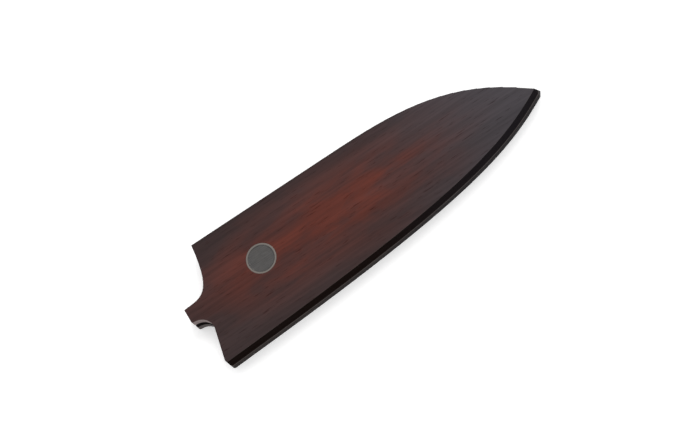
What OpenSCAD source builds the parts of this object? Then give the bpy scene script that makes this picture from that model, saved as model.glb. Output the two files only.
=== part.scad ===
// Wooden blade guard for a 200 mm cook's knife, lying on its back plate.
// A face shell with the blade pocket milled into its underside is glued to a
// flat back plate. Discs of magnet in both walls hold the blade.
// The origin is at the middle of the footprint, on the resting face.
// +X points to the tip, +Y to the spine and +Z out of the face.

/* [Sheath] */
// Length from the end of the prong to the tip
sheath_length = 210; // [200:1:225]
// Width from the spine to the cutting edge side, at the heel
sheath_width = 64; // [60:1:72]

/* [Walls] */
// Thickness of wood over the pocket, in the face shell
face_wall = 4.5; // [3.8:0.1:6]
// Height of the pocket that takes the blade
pocket_gap = 4.2; // [4.1:0.1:5.5]
// Thickness of the back plate
back_wall = 4.3; // [3.8:0.1:6]
// Width of wood beside the pocket along the spine
spine_rim = 5; // [4:0.5:7]
// Width of wood beside the pocket along the cutting edge
edge_rim = 5; // [4:0.5:7]
// Length of solid wood ahead of the pocket, at the tip
tip_rim = 12; // [10:0.5:18]

/* [Nose] */
// Length of the straight spine, from the end of the prong
nose_start = 104; // [90:1:120]
// How far the nose curve runs on along the spine before it bends
nose_run = 36; // [30:1:42]
// How far the nose curve runs straight into the tip
nose_pull = 46; // [40:1:50]
// Slope of the nose curve at the tip, in degrees
nose_slope = 40; // [36:1:44]
// Distance from the spine line down to the tip
tip_drop = 29; // [26:0.5:32]
// How far the nose leans back at the tip, from the back to the face
nose_bevel = 3; // [1:0.5:5]
// Height of the blunt end of the tip
tip_blunt = 3; // [2:0.5:5]

/* [Cutting edge side] */
// Slope of this side at the heel, in degrees
heel_slope = 2.6; // [1:0.1:4]
// How far this side runs on from the heel before it bends
edge_run = 142; // [130:1:146]
// Slope of this side at the tip, in degrees
edge_slope = 29.5; // [26:0.5:33]
// How far this side runs straight into the tip
edge_pull = 34; // [28:1:38]

/* [Handle end] */
// Distance from the end of the prong to the rear corner of the spine
spine_setback = 19.7; // [16:0.1:24]
// Distance from the spine line to the upper side of the prong
scoop_depth = 27.6; // [24:0.1:30]
// Width of the prong's flat end
prong_width = 8.4; // [7:0.1:10]
// Rounding of the prong's lower corner
prong_round = 1; // [0.5:0.1:2]
// Radius of the thumb notch
notch_r = 8; // [6:0.5:9]
// Distance from the end of the prong to the heel corner
heel_setback = 4.6; // [3:0.1:6]
// Rounding of the heel corner
heel_round = 1.4; // [0.5:0.1:2.5]

/* [Badge] */
// Diameter of the round metal inlay in the face
badge_d = 16; // [12:0.5:20]
// Thickness of the inlay
badge_h = 1.2; // [0.8:0.1:1.6]
// Distance from the end of the prong to the middle of the inlay
badge_x = 47; // [40:0.5:54]
// Distance from the spine line to the middle of the inlay
badge_y = 27; // [24:0.5:34]
// Width of the raised rim of the inlay
badge_rim = 1.1; // [0.8:0.1:2]
// Depth of the turned field inside the rim
badge_dish = 0.25; // [0.1:0.05:0.4]

/* [Magnets] */
// Diameter of a magnet
magnet_d = 8; // [6:0.5:10]
// Thickness of a magnet
magnet_h = 2; // [1.5:0.1:2.4]
// Distance from the end of the prong to the first magnet
magnet_first = 68; // [60:1:72]
// Distance from one magnet to the next
magnet_pitch = 42; // [34:1:44]
// Distance from the spine line to the magnets
magnet_y = 21; // [16:0.5:24]

/* [Fits] */
// Play all round a magnet or the inlay in its socket
socket_play = 0.05; // [0.03:0.01:0.1]
// How far a magnet lies below the wall of the pocket
magnet_sunk = 0.1; // [0:0.05:0.2]

/* [Hidden] */
$fn = 64;

wood = "#4a2d2a";
dark_wood = "#2e2827";
gunmetal = "#555555";
nickel = "#b8b8b4";

pocket_floor = back_wall;
pocket_roof = back_wall + pocket_gap;
thickness = pocket_roof + face_wall;

// Steps of a curve, and how far cutters reach past the wood
nose_steps = 18;
edge_steps = 28;
scoop_steps = 14;
arc_steps = 10;
over = 1;
cut_lap = 1.5;
nose_waste = 60;

// Slope of the blunt end, and the scoop's two handles from its own corner
blunt_slope = 30;
scoop_steep = [-2.8, -1.7];
scoop_flat = [-9.3, 0.9];

// Ends and handles of the curves
tip = [sheath_length, -tip_drop];
tip_end = tip - tip_blunt * [sin(blunt_slope), cos(blunt_slope)];
heel = [heel_setback, -sheath_width];
nose_ends = [
    [nose_start, 0],
    [nose_start + nose_run, 0],
    tip - nose_pull * [cos(nose_slope), -sin(nose_slope)],
    tip
];
edge_ends = [
    heel,
    heel + edge_run * [cos(heel_slope), sin(heel_slope)],
    tip_end - edge_pull * [cos(edge_slope), sin(edge_slope)],
    tip_end
];
scoop_corner = [spine_setback, -scoop_depth];
scoop_ends = [
    [spine_setback, 0],
    scoop_corner + scoop_steep,
    scoop_corner + scoop_flat,
    [0, -scoop_depth]
];
prong_low = -scoop_depth - prong_width;
prong_c = [prong_round, prong_low + prong_round];
notch_c = [prong_round, prong_low - notch_r];
notch_end = notch_c + [notch_r, 0];
heel_lean = atan((notch_end[0] - heel[0]) / (notch_end[1] - heel[1]));
heel_c = heel + heel_round * [tan(heel_lean) + 1 / cos(heel_lean), 1];

function bezier(p, t) =
    pow(1 - t, 3) * p[0]
    + 3 * pow(1 - t, 2) * t * p[1]
    + 3 * (1 - t) * t * t * p[2]
    + pow(t, 3) * p[3];

function curve(p, steps, first = 0) =
    [for (i = [first:steps]) bezier(p, i / steps)];

// Points of an arc about c, between two angles
function arc(c, r, from, to) =
    [for (i = [0:arc_steps])
        let (a = from + (to - from) * i / arc_steps)
        c + r * [cos(a), sin(a)]];

// How far the nose leans back at the face, from 0 where its curve starts
function lean(i) = nose_bevel * pow((i + 0.5) / nose_steps, 2);

// Moves the drawing, made from the prong's end and the spine, to the middle
module place() {
    translate([-sheath_length / 2, sheath_width / 2, 0]) children();
}

// The outline, with the nose left square for the cuts that shape it
module blank_outline() {
    polygon(concat(
        curve(scoop_ends, scoop_steps),
        arc(prong_c, prong_round, 180, 270),
        arc(notch_c, notch_r, 90, 0),
        arc(heel_c, heel_round, 180 - heel_lean, 270),
        curve(edge_ends, edge_steps, 1),
        [tip, [sheath_length, over], [nose_start, over], [nose_start, 0]]
    ));
}

// Slanted flats that follow the nose curve and lean back towards the face
module nose_cuts() {
    for (i = [0:nose_steps - 1]) {
        p = bezier(nose_ends, i / nose_steps);
        q = bezier(nose_ends, (i + 1) / nose_steps);
        run = norm(q - p);
        translate([p[0], p[1], 0])
            rotate([0, 0, atan2(q[1] - p[1], q[0] - p[0])])
                rotate([atan(lean(i) / thickness), 0, 0])
                    translate([-cut_lap, 0, -nose_waste])
                        cube([run + 2 * cut_lap, nose_waste, 2 * nose_waste]);
    }
}

// One layer of wood between two heights
module layer(low, high) {
    difference() {
        translate([0, 0, low]) linear_extrude(high - low) blank_outline();
        nose_cuts();
    }
}

// The pocket, open at the handle end and pointed like the blade
module pocket() {
    point = [sheath_length - tip_rim, -tip_drop - tip_blunt];
    spine_side = [
        [nose_start, -spine_rim],
        [nose_start + nose_run, -spine_rim],
        point - (nose_pull - tip_rim) * [cos(nose_slope), -sin(nose_slope)],
        point
    ];
    edge_side = [
        point,
        point - (edge_pull - tip_rim) * [cos(edge_slope), sin(edge_slope)],
        heel + (edge_run - tip_rim) * [cos(heel_slope), sin(heel_slope)] + [0, edge_rim],
        [-over, edge_rim - sheath_width]
    ];
    translate([0, 0, pocket_floor - over])
        linear_extrude(pocket_gap + over)
            polygon(concat(
                [[-over, -spine_rim]],
                curve(spine_side, nose_steps),
                curve(edge_side, edge_steps, 1)
            ));
}

// Middle of a magnet, from the heel to the tip
function magnet_at(i) = [magnet_first + i * magnet_pitch, -magnet_y];

module magnet(i, z) {
    color(nickel) place()
        translate([magnet_at(i)[0], magnet_at(i)[1], z]) cylinder(h = magnet_h, d = magnet_d);
}

module sockets(z) {
    for (i = [0:2])
        translate([magnet_at(i)[0], magnet_at(i)[1], z])
            cylinder(h = magnet_h + magnet_sunk + over, d = magnet_d + 2 * socket_play);
}

module face_shell() {
    color(wood) place() difference() {
        layer(pocket_floor, thickness);
        pocket();
        sockets(pocket_roof - over);
        translate([badge_x, -badge_y, thickness - badge_h])
            cylinder(h = badge_h + over, d = badge_d + 2 * socket_play);
    }
}

module back_plate() {
    color(dark_wood) place() difference() {
        layer(0, back_wall);
        sockets(pocket_floor - magnet_h - magnet_sunk);
    }
}

// A turned disc: a raised rim round a shallow field
module badge_inlay() {
    field_r = badge_d / 2 - badge_rim;
    color(gunmetal) place() translate([badge_x, -badge_y, thickness - badge_h])
        rotate_extrude() polygon([
            [0, 0],
            [badge_d / 2, 0],
            [badge_d / 2, badge_h],
            [field_r, badge_h],
            [field_r - badge_dish, badge_h - badge_dish],
            [0, badge_h - badge_dish]
        ]);
}

// Height of the magnets over the pocket and under it
face_magnet_z = pocket_roof + magnet_sunk;
back_magnet_z = pocket_floor - magnet_sunk - magnet_h;

face_shell();
back_plate();
badge_inlay();
magnet(0, face_magnet_z);  // face_magnet_heel
magnet(1, face_magnet_z);  // face_magnet_middle
magnet(2, face_magnet_z);  // face_magnet_tip
magnet(0, back_magnet_z);  // back_magnet_heel
magnet(1, back_magnet_z);  // back_magnet_middle
magnet(2, back_magnet_z);  // back_magnet_tip
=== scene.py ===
"""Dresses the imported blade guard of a 200 mm cook's knife and stages it on a pale floor.

The CAD nodes keep their shape and place. Each of them gets a procedural material, and
the script adds the floor, the light and the camera. All lengths are in metres.
"""

import logging
import math
from dataclasses import dataclass, field
from enum import Enum
from typing import Optional, Sequence, Union

import bpy
import numpy as np
from mathutils import Matrix, Vector


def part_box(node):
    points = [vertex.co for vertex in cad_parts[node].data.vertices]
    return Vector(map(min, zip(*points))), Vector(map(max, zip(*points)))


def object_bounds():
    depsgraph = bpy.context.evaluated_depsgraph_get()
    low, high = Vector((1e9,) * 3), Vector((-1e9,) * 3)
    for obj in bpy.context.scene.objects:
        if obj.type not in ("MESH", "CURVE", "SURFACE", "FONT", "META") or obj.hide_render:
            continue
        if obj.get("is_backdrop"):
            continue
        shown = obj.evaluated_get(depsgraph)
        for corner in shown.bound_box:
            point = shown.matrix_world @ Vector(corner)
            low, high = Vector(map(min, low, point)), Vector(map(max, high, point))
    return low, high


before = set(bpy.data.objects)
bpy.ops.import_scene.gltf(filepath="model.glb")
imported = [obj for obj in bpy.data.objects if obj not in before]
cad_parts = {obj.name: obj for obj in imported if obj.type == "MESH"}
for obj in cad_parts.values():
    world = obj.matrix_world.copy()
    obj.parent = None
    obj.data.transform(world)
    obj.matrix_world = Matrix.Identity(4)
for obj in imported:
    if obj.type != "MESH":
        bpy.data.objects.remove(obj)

LOG = logging.getLogger("blade_guard")

Colour = tuple[float, float, float]
Value = Union[float, bpy.types.NodeSocket]

# Where most values of a noise lie, and the waves per metre of the rings in a sawn end
NOISE_SPAN = (0.3, 0.7)
RING_SCALE = (260.0, 900.0, 420.0)
# How much rougher a pore is than the wood round it
PORE_ROUGH = 0.2


def srgb(red: int, green: int, blue: int) -> Colour:
    """Turns a colour of 0 to 255 per channel, as a screen shows it, into linear light.

    Args:
        red: The red channel.
        green: The green channel.
        blue: The blue channel.

    Returns:
        The linear colour.
    """
    c = np.array([red, green, blue], float) / 255.0
    linear = np.where(c <= 0.04045, c / 12.92, ((c + 0.055) / 1.055) ** 2.4)
    return tuple(float(v) for v in linear)


class Face(Enum):
    """The faces of a wooden piece that are finished in their own way."""

    TOP = "Top"
    SIDE = "Side"
    END = "End"
    UNDER = "Under"


class Graph:
    """Short words for placing and joining the nodes of one tree."""

    def __init__(self, tree: bpy.types.NodeTree) -> None:
        """Keeps the tree that the nodes go into."""
        self.tree = tree

    def add(self, kind: str, **settings: object) -> bpy.types.Node:
        """Places a node and sets its properties.

        Args:
            kind: The node's type, without the word ShaderNode.
            settings: Properties of the node.

        Returns:
            The new node.
        """
        node = self.tree.nodes.new("ShaderNode" + kind)
        for name, value in settings.items():
            setattr(node, name, value)
        return node

    def put(self, socket: bpy.types.NodeSocket, value: object) -> None:
        """Joins a socket to another one, or gives it a constant."""
        if isinstance(value, bpy.types.NodeSocket):
            self.tree.links.new(value, socket)
        elif isinstance(value, tuple) and len(value) == 3 and socket.type == "RGBA":
            socket.default_value = (*value, 1.0)
        else:
            socket.default_value = value

    def math(self, how: str, a: Value, b: Value = 0.0, clamp: bool = False) -> bpy.types.NodeSocket:
        """One step of arithmetic.

        Args:
            how: The operation.
            a: The first value.
            b: The second value.
            clamp: True to keep the result between 0 and 1.

        Returns:
            The result's socket.
        """
        node = self.add("Math", operation=how, use_clamp=clamp)
        self.put(node.inputs[0], a)
        self.put(node.inputs[1], b)
        return node.outputs[0]

    def ease(self, value: Value, low: float, high: float, to: tuple[float, float] = (0.0, 1.0)
             ) -> bpy.types.NodeSocket:
        """A smooth step of a value from low to high.

        Args:
            value: The value that is read.
            low: Where the step starts.
            high: Where the step ends.
            to: The results at the start and at the end.

        Returns:
            The result's socket.
        """
        node = self.add("MapRange", interpolation_type="SMOOTHSTEP")
        self.put(node.inputs["Value"], value)
        node.inputs["From Min"].default_value = low
        node.inputs["From Max"].default_value = high
        node.inputs["To Min"].default_value = to[0]
        node.inputs["To Max"].default_value = to[1]
        return node.outputs["Result"]

    def blend(self, share: Value, a: object, b: object, how: str = "MIX") -> bpy.types.NodeSocket:
        """Mixes two colours.

        Args:
            share: How much of the second one shows.
            a: The first colour.
            b: The second colour.
            how: The blend type.

        Returns:
            The result's socket.
        """
        node = self.add("Mix", data_type="RGBA", blend_type=how, clamp_factor=True)
        self.put(node.inputs[0], share)
        self.put(node.inputs[6], a)
        self.put(node.inputs[7], b)
        return node.outputs[2]

    def grey(self, value: bpy.types.NodeSocket) -> bpy.types.NodeSocket:
        """A number as a grey of the same strength in every channel."""
        node = self.add("CombineColor")
        for socket in node.inputs:
            self.put(socket, value)
        return node.outputs[0]

    def place(self) -> tuple[bpy.types.NodeSocket, list[bpy.types.NodeSocket]]:
        """The point on the object, whole and as x, y and z."""
        where = self.add("TexCoord").outputs["Object"]
        parts = self.add("SeparateXYZ")
        self.put(parts.inputs[0], where)
        return where, [parts.outputs[i] for i in range(3)]

    def noise(self, where: bpy.types.NodeSocket, scale: Sequence[float], seed: float,
              detail: float = 3.0, twist: float = 0.0) -> bpy.types.NodeSocket:
        """Noise that is stretched by a scale along each axis.

        Args:
            where: The point that is read.
            scale: Waves per metre along x, y and z.
            seed: Picks one pattern out of many.
            detail: Octaves of the noise.
            twist: How far the pattern wanders.

        Returns:
            The socket with a value of 0 to 1.
        """
        turn = self.add("Mapping")
        self.put(turn.inputs["Vector"], where)
        turn.inputs["Scale"].default_value = tuple(scale)
        node = self.add("TexNoise", noise_dimensions="4D")
        self.put(node.inputs["Vector"], turn.outputs[0])
        node.inputs["W"].default_value = seed
        node.inputs["Scale"].default_value = 1.0
        node.inputs["Detail"].default_value = detail
        node.inputs["Distortion"].default_value = twist
        return node.outputs["Fac"]

    def effect(self, tree: bpy.types.NodeTree, **values: object) -> bpy.types.Node:
        """Places a shared effect with its own values.

        Args:
            tree: The effect's node group.
            values: The group's inputs by name, with _ for a space.

        Returns:
            The group node.
        """
        node = self.add("Group", node_tree=tree)
        for name, value in values.items():
            self.put(node.inputs[name.replace("_", " ")], value)
        return node


def new_effect(name: str, takes: dict[str, float], gives: dict[str, str]
               ) -> tuple[bpy.types.NodeTree, Graph, bpy.types.Node, bpy.types.Node]:
    """Starts a shared effect.

    Args:
        name: The group's name.
        takes: Its number inputs, each with a usual value.
        gives: Its outputs, each with a socket type.

    Returns:
        The group, its graph, its input node and its output node.
    """
    tree = bpy.data.node_groups.new(name, "ShaderNodeTree")
    for word, usual in takes.items():
        socket = tree.interface.new_socket(name=word, in_out="INPUT", socket_type="NodeSocketFloat")
        socket.default_value = usual
    for word, kind in gives.items():
        tree.interface.new_socket(name=word, in_out="OUTPUT", socket_type=kind)
    start = tree.nodes.new("NodeGroupInput")
    end = tree.nodes.new("NodeGroupOutput")
    return tree, Graph(tree), start, end


@dataclass(frozen=True)
class Effects:
    """The node groups that more than one finish uses."""

    grain: bpy.types.NodeTree
    faces: bpy.types.NodeTree
    edge_highlight: bpy.types.NodeTree

    @staticmethod
    def make() -> "Effects":
        """Builds each group once."""
        return Effects(Effects.make_grain(), Effects.make_faces(), Effects.make_edge_highlight())

    @staticmethod
    def make_grain() -> bpy.types.NodeTree:
        """Wood grain along X: streaks, slow drift, pores and the height of all three."""
        number = "NodeSocketFloat"
        tree, g, start, end = new_effect(
            "wood grain", {"Seed": 0.0},
            {"Streak": number, "Drift": number, "Pore": number, "Height": number})
        where, _ = g.place()
        shifted = g.add("VectorMath", operation="ADD")
        g.put(shifted.inputs[0], where)
        g.put(shifted.inputs[1], start.outputs["Seed"])
        point = shifted.outputs[0]
        streak = g.noise(point, (24.0, 760.0, 760.0), seed=1.3, detail=4.0, twist=0.25)
        drift = g.noise(point, (7.0, 62.0, 62.0), seed=4.1, detail=2.0, twist=0.6)
        pits = g.noise(point, (150.0, 2100.0, 2100.0), seed=7.7, detail=2.0)
        pore = g.ease(pits, 0.60, 0.72)
        height = g.math("SUBTRACT", g.math("MULTIPLY", streak, 0.5), g.math("MULTIPLY", pore, 0.7))
        for name, value in (("Streak", streak), ("Drift", drift), ("Pore", pore), ("Height", height)):
            g.put(end.inputs[name], value)
        return tree

    @staticmethod
    def make_faces() -> bpy.types.NodeTree:
        """Masks of the face, the side walls, the handle end's cuts and the undersides."""
        number = "NodeSocketFloat"
        tree, g, start, end = new_effect(
            "cut faces", {"End X": -0.0851, "End Y": -0.0306},
            {face.value: number for face in Face})
        _, (x, y, _) = g.place()
        normal = g.add("SeparateXYZ")
        g.put(normal.inputs[0], g.add("NewGeometry").outputs["True Normal"])
        up = normal.outputs[2]
        top = g.math("GREATER_THAN", up, 0.7)
        under = g.math("LESS_THAN", up, -0.7)
        wall = g.math("SUBTRACT", 1.0, g.math("ADD", top, under), clamp=True)
        behind = g.math("LESS_THAN", x, start.outputs["End X"])
        above = g.math("GREATER_THAN", y, start.outputs["End Y"])
        cut = g.math("MULTIPLY", wall, g.math("MULTIPLY", behind, above))
        g.put(end.inputs[Face.TOP.value], top)
        g.put(end.inputs[Face.UNDER.value], under)
        g.put(end.inputs[Face.END.value], cut)
        g.put(end.inputs[Face.SIDE.value], g.math("SUBTRACT", wall, cut, clamp=True))
        return tree

    @staticmethod
    def make_edge_highlight() -> bpy.types.NodeTree:
        """Painted highlight along the edges: where the rounded normal leaves the flat one, broken up by
        noise. Also gives the rounded normal.
        """
        tree, g, start, end = new_effect(
            "painted edge highlight", {"Radius": 0.0005, "Amount": 1.0},
            {"Mask": "NodeSocketFloat", "Normal": "NodeSocketVector"})
        soft = g.add("Bevel", samples=6)
        g.put(soft.inputs["Radius"], start.outputs["Radius"])
        same = g.add("VectorMath", operation="DOT_PRODUCT")
        g.put(same.inputs[0], soft.outputs[0])
        g.put(same.inputs[1], g.add("NewGeometry").outputs["True Normal"])
        off = g.math("MULTIPLY", g.math("SUBTRACT", 1.0, same.outputs["Value"]), 6.0, clamp=True)
        where, _ = g.place()
        cloud = g.noise(where, (90.0, 90.0, 90.0), seed=2.2, detail=4.0)
        patchy = g.ease(cloud, 0.3, 0.65, (0.35, 1.0))
        mask = g.math("MULTIPLY", g.math("MULTIPLY", off, patchy), start.outputs["Amount"], clamp=True)
        g.put(end.inputs["Mask"], mask)
        g.put(end.inputs["Normal"], soft.outputs[0])
        return tree


def new_material(name: str) -> tuple[bpy.types.Material, Graph, bpy.types.Node]:
    """Starts a material on a plain surface shader.

    Args:
        name: The material's name.

    Returns:
        The material, its graph and its shader.
    """
    material = bpy.data.materials.new(name)
    material.use_nodes = True
    tree = material.node_tree
    return material, Graph(tree), tree.nodes["Principled BSDF"]


def add_relief(g: Graph, shader: bpy.types.Node, height: bpy.types.NodeSocket,
               normal: bpy.types.NodeSocket, strength: float, depth: float) -> None:
    """Raises a surface by a pattern.

    Args:
        g: The material's graph.
        shader: The material's shader.
        height: The pattern.
        normal: The normal that the pattern is laid over.
        strength: How strongly it shows.
        depth: Its depth.
    """
    bump = g.add("Bump")
    bump.inputs["Strength"].default_value = strength
    bump.inputs["Distance"].default_value = depth
    g.put(bump.inputs["Height"], height)
    g.put(bump.inputs["Normal"], normal)
    g.put(shader.inputs["Normal"], bump.outputs[0])


def sawn_end(g: Graph, where: bpy.types.NodeSocket, seed: float, light: Colour, dark: Colour,
             most: float) -> bpy.types.NodeSocket:
    """The colour of a sawn end, mottled by its growth rings.

    Args:
        g: The material's graph.
        where: The point that is read.
        seed: Picks one pattern out of many.
        light: The usual colour.
        dark: The colour of the rings.
        most: The largest share of the rings' colour.

    Returns:
        The colour's socket.
    """
    rings = g.noise(where, RING_SCALE, seed)
    return g.blend(g.ease(rings, *NOISE_SPAN, (0.0, most)), light, dark)


@dataclass(frozen=True)
class SunburstWood:
    """Satin rosewood that is red-brown along its middle and shaded to the edges, with painted sheen
    greying it towards the tip.
    """

    seam_at: float
    # The painted highlight line along the seam: its half width and its colour
    seam_highlight_width: float = 0.0007
    seam_highlight: Colour = srgb(118, 110, 107)
    middle: Colour = srgb(86, 40, 31)
    middle_at: tuple[float, float] = (-0.022, 0.003)
    middle_reach: tuple[float, float] = (0.068, 0.0185)
    heel_shade: Colour = srgb(49, 38, 38)
    # The stain's edge tone greyed by painted sheen, towards the tip
    tip_stain_and_sheen: Colour = srgb(58, 54, 58)
    shade_span: tuple[float, float] = (-0.01, 0.095)
    side: Colour = srgb(13, 6, 4)
    side_tip: Colour = srgb(23, 21, 24)
    side_span: tuple[float, float] = (-0.02, 0.095)
    side_streak: Colour = srgb(52, 42, 40)
    pore: Colour = srgb(34, 22, 20)
    # Colours of the painted highlight along the rounded edges of the face and of the side walls
    arris_highlight: Colour = srgb(120, 106, 104)
    side_arris_highlight: Colour = srgb(84, 74, 72)
    cut: Colour = srgb(146, 134, 133)
    cut_ring: Colour = srgb(112, 98, 96)
    inside: Colour = srgb(26, 20, 18)
    blotch_scale: tuple[float, float, float] = (38.0, 105.0, 105.0)
    grain_seed: float = 3.0
    blotch_seed: float = 12.0
    ring_seed: float = 5.0
    edge_round: float = 0.0006
    gloss: float = 0.42
    matt_sides: float = 0.3
    lacquer: float = 0.35
    relief: float = 0.00008

    def middle_share(self, g: Graph, where: bpy.types.NodeSocket, x: bpy.types.NodeSocket,
                     y: bpy.types.NodeSocket) -> bpy.types.NodeSocket:
        """How much of the middle's red-brown shows.

        It is exp(-(u cubed + v squared)), where u and v are the distances from the middle
        along and across the grain, each over its reach. Noise makes it blotchy.

        Args:
            g: The material's graph.
            where: The point that is read.
            x: Its place along the guard.
            y: Its place across the guard.

        Returns:
            The share's socket.
        """
        along = g.math("DIVIDE", g.math("SUBTRACT", x, self.middle_at[0]), self.middle_reach[0])
        across = g.math("DIVIDE", g.math("SUBTRACT", y, self.middle_at[1]), self.middle_reach[1])
        reach = g.math("ADD", g.math("POWER", g.math("ABSOLUTE", along), 3.0),
                       g.math("POWER", g.math("ABSOLUTE", across), 2.0))
        glow = g.math("EXPONENT", g.math("MULTIPLY", reach, -1.0))
        blotch = g.noise(where, self.blotch_scale, self.blotch_seed, twist=0.5)
        return g.math("MULTIPLY", glow, g.ease(blotch, 0.34, 0.62, (0.5, 1.2)), clamp=True)

    def face_colour(self, g: Graph, glow: bpy.types.NodeSocket, x: bpy.types.NodeSocket,
                    grain: bpy.types.NodeOutputs, arris_highlight: bpy.types.NodeSocket) -> bpy.types.NodeSocket:
        """The colour of the lacquered face.

        Args:
            g: The material's graph.
            glow: The share of the middle's colour.
            x: The point's place along the guard.
            grain: The outputs of the grain.
            arris_highlight: The mask of the painted highlight along the edges.

        Returns:
            The colour's socket.
        """
        # Towards the tip the stain is greyed by painted sheen
        shade = g.blend(g.ease(x, *self.shade_span), self.heel_shade, self.tip_stain_and_sheen)
        face = g.blend(glow, shade, self.middle)
        light = g.math("MULTIPLY", g.ease(grain["Streak"], 0.32, 0.70, (0.86, 1.13)),
                       g.ease(grain["Drift"], *NOISE_SPAN, (0.84, 1.16)))
        face = g.blend(1.0, face, g.grey(light), "MULTIPLY")
        face = g.blend(g.math("MULTIPLY", grain["Pore"], 0.4), face, self.pore)
        # Painted highlight along the rounded edges
        return g.blend(g.math("MULTIPLY", arris_highlight, 0.55), face, self.arris_highlight)

    def side_colour(self, g: Graph, x: bpy.types.NodeSocket, z: bpy.types.NodeSocket,
                    grain: bpy.types.NodeOutputs, arris_highlight: bpy.types.NodeSocket) -> bpy.types.NodeSocket:
        """The colour of the black side walls, with a painted highlight line along the seam and painted
        highlights on their edges.

        Args:
            g: The material's graph.
            x: The point's place along the guard.
            z: The point's height.
            grain: The outputs of the grain.
            arris_highlight: The mask of the painted highlight along the edges.

        Returns:
            The colour's socket.
        """
        wall = g.blend(g.ease(x, *self.side_span), self.side, self.side_tip)
        away = g.math("ABSOLUTE", g.math("SUBTRACT", z, self.seam_at))
        line = g.ease(away, self.seam_highlight_width, self.seam_highlight_width / 2)
        # Painted highlight line along the seam between shell and plate
        wall = g.blend(g.math("MULTIPLY", line, 0.6), wall, self.seam_highlight)
        wall = g.blend(g.math("MULTIPLY", grain["Streak"], 0.12), wall, self.side_streak)
        # Painted highlight along the wall's edges
        return g.blend(g.math("MULTIPLY", arris_highlight, 0.2), wall, self.side_arris_highlight)

    def material(self, effects: Effects) -> bpy.types.Material:
        """Builds the finish.

        Args:
            effects: The shared node groups.

        Returns:
            The material.
        """
        material, g, shader = new_material("sunburst_rosewood")
        where, (x, y, z) = g.place()
        grain = g.effect(effects.grain, Seed=self.grain_seed).outputs
        faces = g.effect(effects.faces).outputs
        edge_highlight = g.effect(effects.edge_highlight, Radius=self.edge_round, Amount=0.5).outputs
        glow = self.middle_share(g, where, x, y)
        colour = self.face_colour(g, glow, x, grain, edge_highlight["Mask"])
        colour = g.blend(faces[Face.SIDE.value], colour, self.side_colour(g, x, z, grain, edge_highlight["Mask"]))
        cut = sawn_end(g, where, self.ring_seed, self.cut, self.cut_ring, 0.45)
        colour = g.blend(faces[Face.END.value], colour, cut)
        colour = g.blend(faces[Face.UNDER.value], colour, self.inside)
        g.put(shader.inputs["Base Color"], colour)

        rough = g.ease(grain["Streak"], *NOISE_SPAN, (self.gloss + 0.06, self.gloss - 0.05))
        rough = g.math("ADD", rough, g.math("MULTIPLY", grain["Pore"], PORE_ROUGH))
        matt = g.math("MULTIPLY", g.math("SUBTRACT", 1.0, faces[Face.TOP.value]), self.matt_sides)
        g.put(shader.inputs["Roughness"], g.math("ADD", rough, matt, clamp=True))
        shader.inputs["Specular IOR Level"].default_value = 0.005
        film = g.math("MULTIPLY", faces[Face.TOP.value], g.math("SUBTRACT", 1.0, grain["Pore"]))
        g.put(shader.inputs["Coat Weight"], g.math("MULTIPLY", film, self.lacquer))
        shader.inputs["Coat IOR"].default_value = 1.4
        shader.inputs["Coat Roughness"].default_value = 0.3
        add_relief(g, shader, grain["Height"], edge_highlight["Normal"], 0.25, self.relief)
        return material


@dataclass(frozen=True)
class CharcoalWood:
    """The dark stained back plate, with a lighter sawn end in the thumb notch."""

    heel: Colour = srgb(39, 34, 33)
    tip: Colour = srgb(29, 28, 31)
    shade_span: tuple[float, float] = (-0.08, 0.095)
    streak: Colour = srgb(34, 30, 30)
    drift: Colour = srgb(78, 66, 63)
    pore: Colour = srgb(18, 15, 15)
    # Colour of the painted highlight along the rounded edges
    arris_highlight: Colour = srgb(104, 95, 92)
    cut: Colour = srgb(101, 95, 94)
    cut_ring: Colour = srgb(74, 66, 64)
    inside: Colour = srgb(24, 20, 19)
    grain_seed: float = 11.0
    ring_seed: float = 8.0
    edge_round: float = 0.0005
    gloss: float = 0.55
    relief: float = 0.0001

    def material(self, effects: Effects) -> bpy.types.Material:
        """Builds the finish.

        Args:
            effects: The shared node groups.

        Returns:
            The material.
        """
        material, g, shader = new_material("charcoal_wood")
        where, (x, _, _) = g.place()
        grain = g.effect(effects.grain, Seed=self.grain_seed).outputs
        faces = g.effect(effects.faces).outputs
        edge_highlight = g.effect(effects.edge_highlight, Radius=self.edge_round, Amount=0.5).outputs
        colour = g.blend(g.ease(x, *self.shade_span), self.heel, self.tip)
        colour = g.blend(g.ease(grain["Streak"], *NOISE_SPAN, (0.0, 0.4)), colour, self.streak)
        colour = g.blend(g.math("MULTIPLY", grain["Drift"], 0.18), colour, self.drift)
        colour = g.blend(g.math("MULTIPLY", grain["Pore"], 0.5), colour, self.pore)
        # Painted highlight along the rounded edges
        colour = g.blend(g.math("MULTIPLY", edge_highlight["Mask"], 0.4), colour, self.arris_highlight)
        cut = sawn_end(g, where, self.ring_seed, self.cut, self.cut_ring, 0.5)
        colour = g.blend(faces[Face.END.value], colour, cut)
        colour = g.blend(faces[Face.TOP.value], colour, self.inside)
        g.put(shader.inputs["Base Color"], colour)
        rough = g.ease(grain["Streak"], *NOISE_SPAN, (self.gloss + 0.1, self.gloss - 0.05))
        pits = g.math("MULTIPLY", grain["Pore"], PORE_ROUGH)
        g.put(shader.inputs["Roughness"], g.math("ADD", rough, pits))
        shader.inputs["Specular IOR Level"].default_value = 0.05
        add_relief(g, shader, grain["Height"], edge_highlight["Normal"], 0.35, self.relief)
        return material


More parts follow.
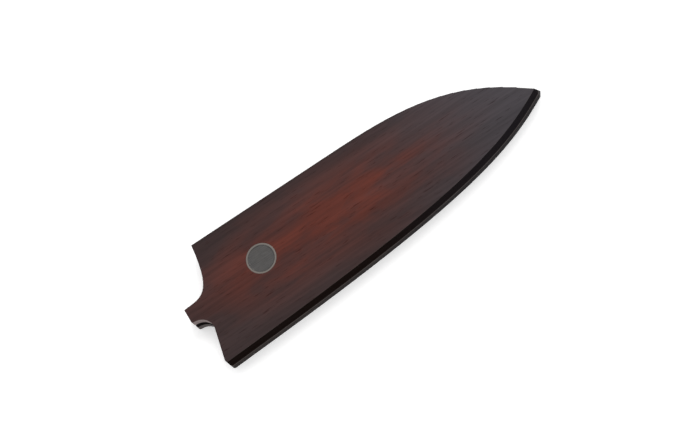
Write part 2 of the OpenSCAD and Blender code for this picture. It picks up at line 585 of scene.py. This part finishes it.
@dataclass(frozen=True)
class TurnedMetal:
    """Metal with fine turned rings about one point, and a painted highlight along its rim where it has
    one.
    """

    name: str
    base: Colour
    bright: Colour
    centre: tuple[float, float] = (0.0, 0.0)
    # Where the painted highlight of the rim starts, and how softly it fades in
    rim_from: float = 1.0
    rim_fade: float = 0.0002
    ring_pitch: float = 0.00034
    brush_scale: tuple[float, float, float] = (220.0, 5200.0, 900.0)
    cloud_scale: tuple[float, float, float] = (190.0, 190.0, 190.0)
    brush_seed: float = 6.0
    cloud_seed: float = 9.0
    edge_round: float = 0.0002
    dull: float = 0.62
    gloss: float = 0.36
    relief: float = 0.00003

    def material(self, effects: Effects) -> bpy.types.Material:
        """Builds the finish.

        Args:
            effects: The shared node groups.

        Returns:
            The material.
        """
        material, g, shader = new_material(self.name)
        where, (x, y, _) = g.place()
        edge_highlight = g.effect(effects.edge_highlight, Radius=self.edge_round, Amount=0.8).outputs
        dx = g.math("SUBTRACT", x, self.centre[0])
        dy = g.math("SUBTRACT", y, self.centre[1])
        out = g.math("SQRT", g.math("ADD", g.math("MULTIPLY", dx, dx), g.math("MULTIPLY", dy, dy)))
        rings = g.math("SINE", g.math("MULTIPLY", out, math.tau / self.ring_pitch))
        brushed = g.noise(where, self.brush_scale, self.brush_seed, 4.0)
        cloud = g.noise(where, self.cloud_scale, self.cloud_seed)
        dark = tuple(self.dull * c for c in self.base)
        colour = g.blend(g.ease(brushed, *NOISE_SPAN), dark, self.base)
        colour = g.blend(g.math("MULTIPLY", cloud, 0.25), colour, self.bright)
        # Painted highlight around the rim
        colour = g.blend(g.ease(out, self.rim_from - self.rim_fade, self.rim_from), colour, self.bright)
        # Painted glint along the rounded edges
        colour = g.blend(g.math("MULTIPLY", edge_highlight["Mask"], 0.6), colour, self.bright)
        g.put(shader.inputs["Base Color"], colour)
        shader.inputs["Metallic"].default_value = 1.0
        rough = g.ease(brushed, 0.25, 0.75, (self.gloss + 0.1, self.gloss - 0.06))
        g.put(shader.inputs["Roughness"], rough)
        height = g.math("ADD", g.math("MULTIPLY", rings, 0.4), brushed)
        add_relief(g, shader, height, edge_highlight["Normal"], 0.2, self.relief)
        return material


@dataclass
class Guard:
    """The wooden guard: a face shell over a back plate."""

    effects: Effects
    plate_finish: CharcoalWood = field(default_factory=CharcoalWood)

    def dress(self) -> None:
        """Gives both wooden pieces their finish, with the painted highlight line of the seam where the
        plate ends.
        """
        _, plate_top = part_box("back_plate")
        shell_finish = SunburstWood(seam_at=plate_top.z)
        put_on("face_shell", shell_finish.material(self.effects))
        put_on("back_plate", self.plate_finish.material(self.effects))


@dataclass
class Inlay:
    """The round metal disc that is let into the face."""

    effects: Effects
    base: Colour = (0.085, 0.084, 0.084)
    # The bright colour is also the painted highlight of the rim and the edges
    bright: Colour = (0.17, 0.152, 0.138)
    rim: float = 0.0007

    def dress(self) -> None:
        """Gives the disc rings about its own middle and a painted highlight along its rim."""
        low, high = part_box("badge_inlay")
        middle = (low + high) / 2
        disc_r = (high.x - low.x) / 2
        finish = TurnedMetal("gunmetal", self.base, self.bright, (middle.x, middle.y), disc_r - self.rim)
        put_on("badge_inlay", finish.material(self.effects))


@dataclass
class Magnets:
    """Three pairs of nickel-plated discs in the walls of the pocket."""

    effects: Effects
    base: Colour = (0.52, 0.51, 0.49)
    # The bright colour is also the painted glint along the edges
    bright: Colour = (0.68, 0.66, 0.62)
    gloss: float = 0.26
    walls: tuple[str, ...] = ("face", "back")
    places: tuple[str, ...] = ("heel", "middle", "tip")

    def dress(self) -> None:
        """Gives every disc the same plating, with rings about its own middle."""
        for place in self.places:
            low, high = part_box("back_magnet_" + place)
            middle = (low + high) / 2
            finish = TurnedMetal("nickel_" + place, self.base, self.bright, (middle.x, middle.y),
                                 gloss=self.gloss)
            material = finish.material(self.effects)
            for wall in self.walls:
                put_on(f"{wall}_magnet_{place}", material)


def put_on(node: str, material: bpy.types.Material) -> None:
    """Puts a finish on a piece that comes from the CAD.

    Args:
        node: The piece's name.
        material: The finish.
    """
    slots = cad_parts[node].data.materials
    slots.clear()
    slots.append(material)
    LOG.info("%s: %s", node, material.name)


@dataclass
class Studio:
    """A pale floor under a white sky, with a soft lamp on the side of the tip and the spine.

    The camera and glossy rays see the floor a little brighter than its light makes it, by
    fill, so that it is white outside the guard's shadow.
    """

    half_floor: float = 6.0
    floor_colour: Colour = (0.93, 0.93, 0.93)
    fill: float = 0.28
    sky: float = 0.92
    lamp_power: float = 7.0
    lamp_size: float = 0.9
    lamp_at: tuple[float, float, float] = (0.55, 0.6, 1.25)

    def build(self) -> None:
        """Makes the floor, the sky and the lamp."""
        self.build_floor()
        world = bpy.data.worlds.new("sky")
        world.use_nodes = True
        sky = world.node_tree.nodes["Background"]
        sky.inputs["Color"].default_value = (1.0, 1.0, 1.0, 1.0)
        self.whiten(world.node_tree, sky)
        bpy.context.scene.world = world
        lamp = bpy.data.lights.new("soft_lamp", "AREA")
        lamp.energy = self.lamp_power
        lamp.shape = "DISK"
        lamp.size = self.lamp_size
        holder = bpy.data.objects.new("soft_lamp", lamp)
        holder.location = self.lamp_at
        holder.rotation_mode = "QUATERNION"
        holder.rotation_quaternion = (-Vector(self.lamp_at)).to_track_quat("-Z", "Y")
        bpy.context.scene.collection.objects.link(holder)
        LOG.info("studio: floor, sky and lamp")

    def whiten(self, tree: bpy.types.NodeTree, sky: bpy.types.Node) -> None:
        """Shows the sky as plain white to the camera and as soft light to everything else."""
        g = Graph(tree)
        seen = g.add("LightPath").outputs["Is Camera Ray"]
        g.put(sky.inputs["Strength"], g.ease(seen, 0.0, 1.0, (self.sky, 1.0)))

    def build_floor(self) -> None:
        """Makes the floor: a flat square grid of points x = u, y = v, at height 0."""
        u, v = np.meshgrid([-self.half_floor, self.half_floor], [-self.half_floor, self.half_floor])
        points = np.stack([u.ravel(), v.ravel(), np.zeros(u.size)], axis=1)
        mesh = bpy.data.meshes.new("floor")
        mesh.from_pydata(points.tolist(), [], [(0, 1, 3, 2)])
        floor = bpy.data.objects.new("floor", mesh)
        bpy.context.scene.collection.objects.link(floor)
        material, g, shader = new_material("pale_floor")
        shader.inputs["Base Color"].default_value = (*self.floor_colour, 1.0)
        shader.inputs["Roughness"].default_value = 0.9
        shader.inputs["Specular IOR Level"].default_value = 0.0
        rays = g.add("LightPath").outputs
        seen = g.math("ADD", rays["Is Camera Ray"], rays["Is Glossy Ray"], clamp=True)
        shader.inputs["Emission Color"].default_value = (1.0, 1.0, 1.0, 1.0)
        g.put(shader.inputs["Emission Strength"], g.math("MULTIPLY", seen, self.fill))
        mesh.materials.append(material)
        floor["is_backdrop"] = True


@dataclass
class Viewpoint:
    """The photograph's camera, worked out from the guard's outline and wall thickness."""

    tilt: float = 23.112
    heading: float = 102.675
    roll: float = 45.0
    distance: float = 2.36185
    aim: tuple[float, float] = (-0.011766, -0.000353)
    focal_px: float = 4686.2
    width_px: float = 700.0
    sensor: float = 36.0

    def build(self) -> bpy.types.Object:
        """Makes the camera.

        Returns:
            The camera's object.
        """
        t, h, a = (math.radians(v) for v in (self.tilt, self.heading, self.roll))
        ahead = Vector((math.cos(h), math.sin(h), 0.0))
        up = Vector((0.0, 0.0, 1.0))
        looks = math.sin(t) * ahead - math.cos(t) * up
        g = -(math.sin(t) * up + math.cos(t) * ahead)
        k = up.cross(ahead)
        right = math.cos(a) * g - math.sin(a) * k
        down = math.sin(a) * g + math.cos(a) * k
        place = Vector((*self.aim, 0.0)) - self.distance * looks
        data = bpy.data.cameras.new("photo_camera")
        data.sensor_width = self.sensor
        data.lens = self.focal_px / self.width_px * self.sensor
        data.clip_start, data.clip_end = 0.05, 50.0
        camera = bpy.data.objects.new("photo_camera", data)
        turn = Matrix((right, -down, -looks)).transposed()
        camera.matrix_world = Matrix.Translation(place) @ turn.to_4x4()
        bpy.context.scene.collection.objects.link(camera)
        bpy.context.scene.camera = camera
        LOG.info("camera: %.0f mm lens, %.2f m away", data.lens, self.distance)
        return camera


def corners() -> list[list[float]]:
    """The object's lowest and highest corner as plain lists."""
    return [[float(v) for v in corner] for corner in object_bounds()]


def main(at_load: Optional[list[list[float]]] = None) -> None:
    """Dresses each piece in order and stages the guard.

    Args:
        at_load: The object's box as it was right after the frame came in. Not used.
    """
    logging.basicConfig(level=logging.INFO, format="%(message)s")
    effects = Effects.make()
    Guard(effects).dress()
    Inlay(effects).dress()
    Magnets(effects).dress()
    Studio().build()
    Viewpoint().build()
    bpy.context.scene.view_settings.view_transform = "Standard"
    bpy.context.view_layer.update()


if __name__ == "__main__":
    main(corners())
